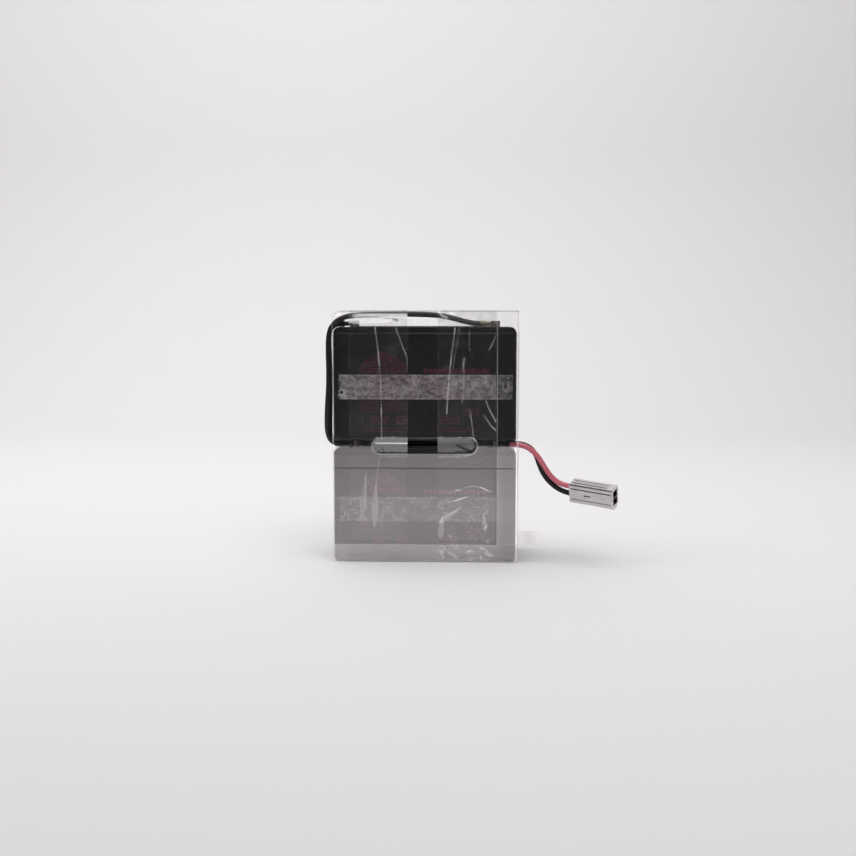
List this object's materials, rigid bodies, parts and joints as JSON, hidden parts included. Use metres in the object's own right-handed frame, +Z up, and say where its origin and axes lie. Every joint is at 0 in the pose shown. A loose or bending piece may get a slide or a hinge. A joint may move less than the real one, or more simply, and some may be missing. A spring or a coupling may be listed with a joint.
{
  "type": "ups battery cartridge",
  "caption": "Replacement battery pack for a standby power supply: stacked sealed lead-acid batteries in a folded clear sleeve, wired in series to a two-way plug.",
  "frame": {"origin": "bottom centre of the pack without its free leads and plug", "axes": "+Z up, the front with the taped finger slot and the overlap flap faces -Y, the plug leaves on +X"},
  "size_m": [0.2432, 0.0831, 0.2085],
  "materials": {
    "black_plastic": "moulded, satin",
    "cap_rubber": "soft, matte",
    "plate_lead": "dull lead paste and separators",
    "strap_lead": "cast lead",
    "tinned_tab": "tinned",
    "black_resin": "cast resin",
    "red_resin": "cast resin",
    "brass_receptacle": "stamped",
    "brass_contact": "stamped",
    "black_insulation": "soft vinyl",
    "red_insulation": "soft vinyl",
    "natural_nylon": "translucent",
    "clear_film": "clear, glossy",
    "clear_tape": "clear, glossy",
    "adhesive": "mottled, tacky"
  },
  "bodies": {
    "root": {"lower_case": "black_plastic", "lower_lid": "black_plastic", "lower_vent_cover": "black_plastic", "lower_valve_caps": "cap_rubber", "lower_plate_packs": "plate_lead", "lower_cell_straps": "strap_lead", "lower_negative_terminal": "tinned_tab", "lower_positive_terminal": "tinned_tab", "lower_negative_seal": "black_resin", "lower_positive_seal": "red_resin", "lower_negative_receptacle": "brass_receptacle", "lower_positive_receptacle": "brass_receptacle", "upper_case": "black_plastic", "upper_lid": "black_plastic", "upper_vent_cover": "black_plastic", "upper_valve_caps": "cap_rubber", "upper_plate_packs": "plate_lead", "upper_cell_straps": "strap_lead", "upper_negative_terminal": "tinned_tab", "upper_positive_terminal": "tinned_tab", "upper_negative_seal": "black_resin", "upper_positive_seal": "red_resin", "upper_negative_receptacle": "brass_receptacle", "upper_positive_receptacle": "brass_receptacle", "link_lead": "black_insulation", "negative_lead": "black_insulation", "positive_lead": "red_insulation", "plug_housing": "natural_nylon", "plug_contacts": "brass_contact", "clear_sleeve": "clear_film", "left_tape_band": "clear_tape", "right_tape_band": "clear_tape", "upper_adhesive_strip": "adhesive", "lower_adhesive_strip": "adhesive"}
  },
  "joints": []
}
